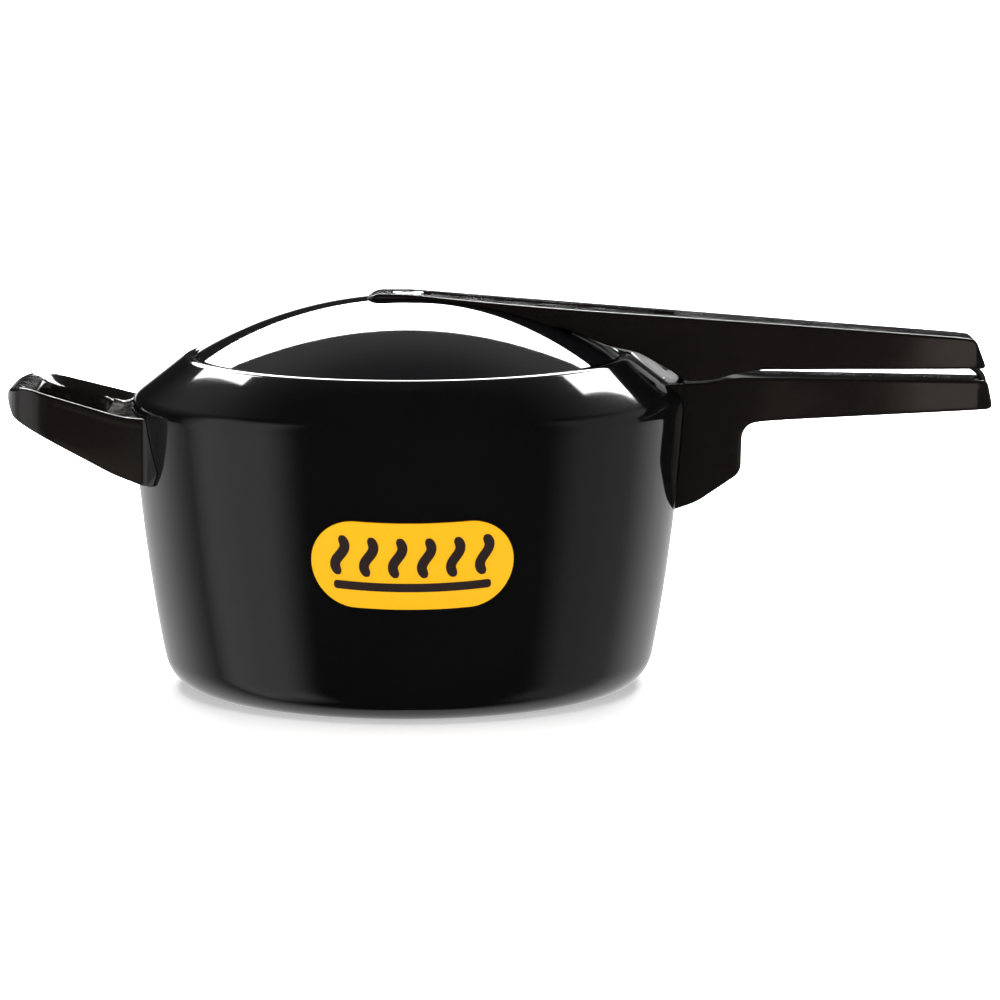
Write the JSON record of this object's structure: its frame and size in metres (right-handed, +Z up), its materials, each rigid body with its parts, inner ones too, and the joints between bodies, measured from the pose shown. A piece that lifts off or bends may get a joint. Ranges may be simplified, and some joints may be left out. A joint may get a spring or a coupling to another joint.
{
  "type": "stovetop pressure cooker",
  "caption": "Stovetop pressure cooker: dark anodised pot with an inner domed lid, long double lever handle, looped helper handle and a steam release lever.",
  "frame": {"origin": "centre of the pot's flat base, on the surface it stands on", "axes": "+Z up along the pot's axis, +X along the long handles, the badge faces -Y"},
  "size_m": [0.4279, 0.241, 0.1724],
  "materials": {
    "hard_anodised": "near-black hard-anodised aluminium, satin, with soft vertical highlights",
    "polished_black": "near-black anodised aluminium, polished to a mirror",
    "phenolic_black": "moulded black phenolic resin, semi-gloss",
    "polished_steel": "polished stainless steel",
    "bright_fasteners": "bright stainless steel fasteners and wire",
    "turned_brass": "turned brass, lightly tarnished",
    "seal_rubber": "matt black moulded rubber",
    "badge_yellow": "golden yellow printed plate, satin"
  },
  "bodies": {
    "cooker_body": {"pot_body": "hard_anodised", "badge_plate": "badge_yellow", "body_bracket": "polished_steel", "body_handle": "phenolic_black", "helper_bracket": "polished_steel", "helper_handle": "phenolic_black", "body_rivet_1": "bright_fasteners", "body_rivet_2": "bright_fasteners", "helper_rivet_1": "bright_fasteners", "helper_rivet_2": "bright_fasteners", "body_screw_1": "bright_fasteners", "body_screw_2": "bright_fasteners", "helper_screw": "bright_fasteners"},
    "lid_unit": {"lid": "polished_black", "lid_seal": "seal_rubber", "lid_bar": "polished_steel", "lid_handle": "phenolic_black", "vent_tube": "turned_brass", "vent_nut": "turned_brass", "safety_valve": "turned_brass", "valve_nut": "turned_brass", "lever_spring": "bright_fasteners", "bar_rivet_1": "bright_fasteners", "bar_rivet_2": "bright_fasteners", "lid_screw_1": "bright_fasteners", "lid_screw_2": "bright_fasteners", "lever_pin": "bright_fasteners", "lock_pin": "bright_fasteners"},
    "lever": {"release_lever": "phenolic_black", "finger_pad": "polished_steel"},
    "weight": {"regulator_weight": "polished_steel"},
    "lock": {"lock_link": "phenolic_black"}
  },
  "joints": [
    {"name": "lid_tilt", "type": "hinge", "parent": "cooker_body", "child": "lid_unit", "pos_m": [0.1145, 0, 0.13593], "axis": [0, -1, 0], "range_deg": [0, 3.5]},
    {"name": "lever_press", "type": "hinge", "parent": "lid_unit", "child": "lever", "pos_m": [0.05, 0, 0.164], "axis": [0, 1, 0], "range_deg": [0, 3.5], "stiffness_Nm_per_rad": 0.5, "springref_deg": -1.15, "deforming": ["lever_spring"]},
    {"name": "weight_lift", "type": "slide", "parent": "lid_unit", "child": "weight", "axis": [0, 0, 1], "range_m": [0, 0.0026]},
    {"name": "lock_swing", "type": "hinge", "parent": "lid_unit", "child": "lock", "pos_m": [0.2404, 0, 0.1448], "axis": [0, -1, 0], "range_deg": [0, 40]}
  ],
  "couplings": [
    {"joint": "weight_lift", "follows": "lever_press", "m_per_rad": 0.04256}
  ]
}
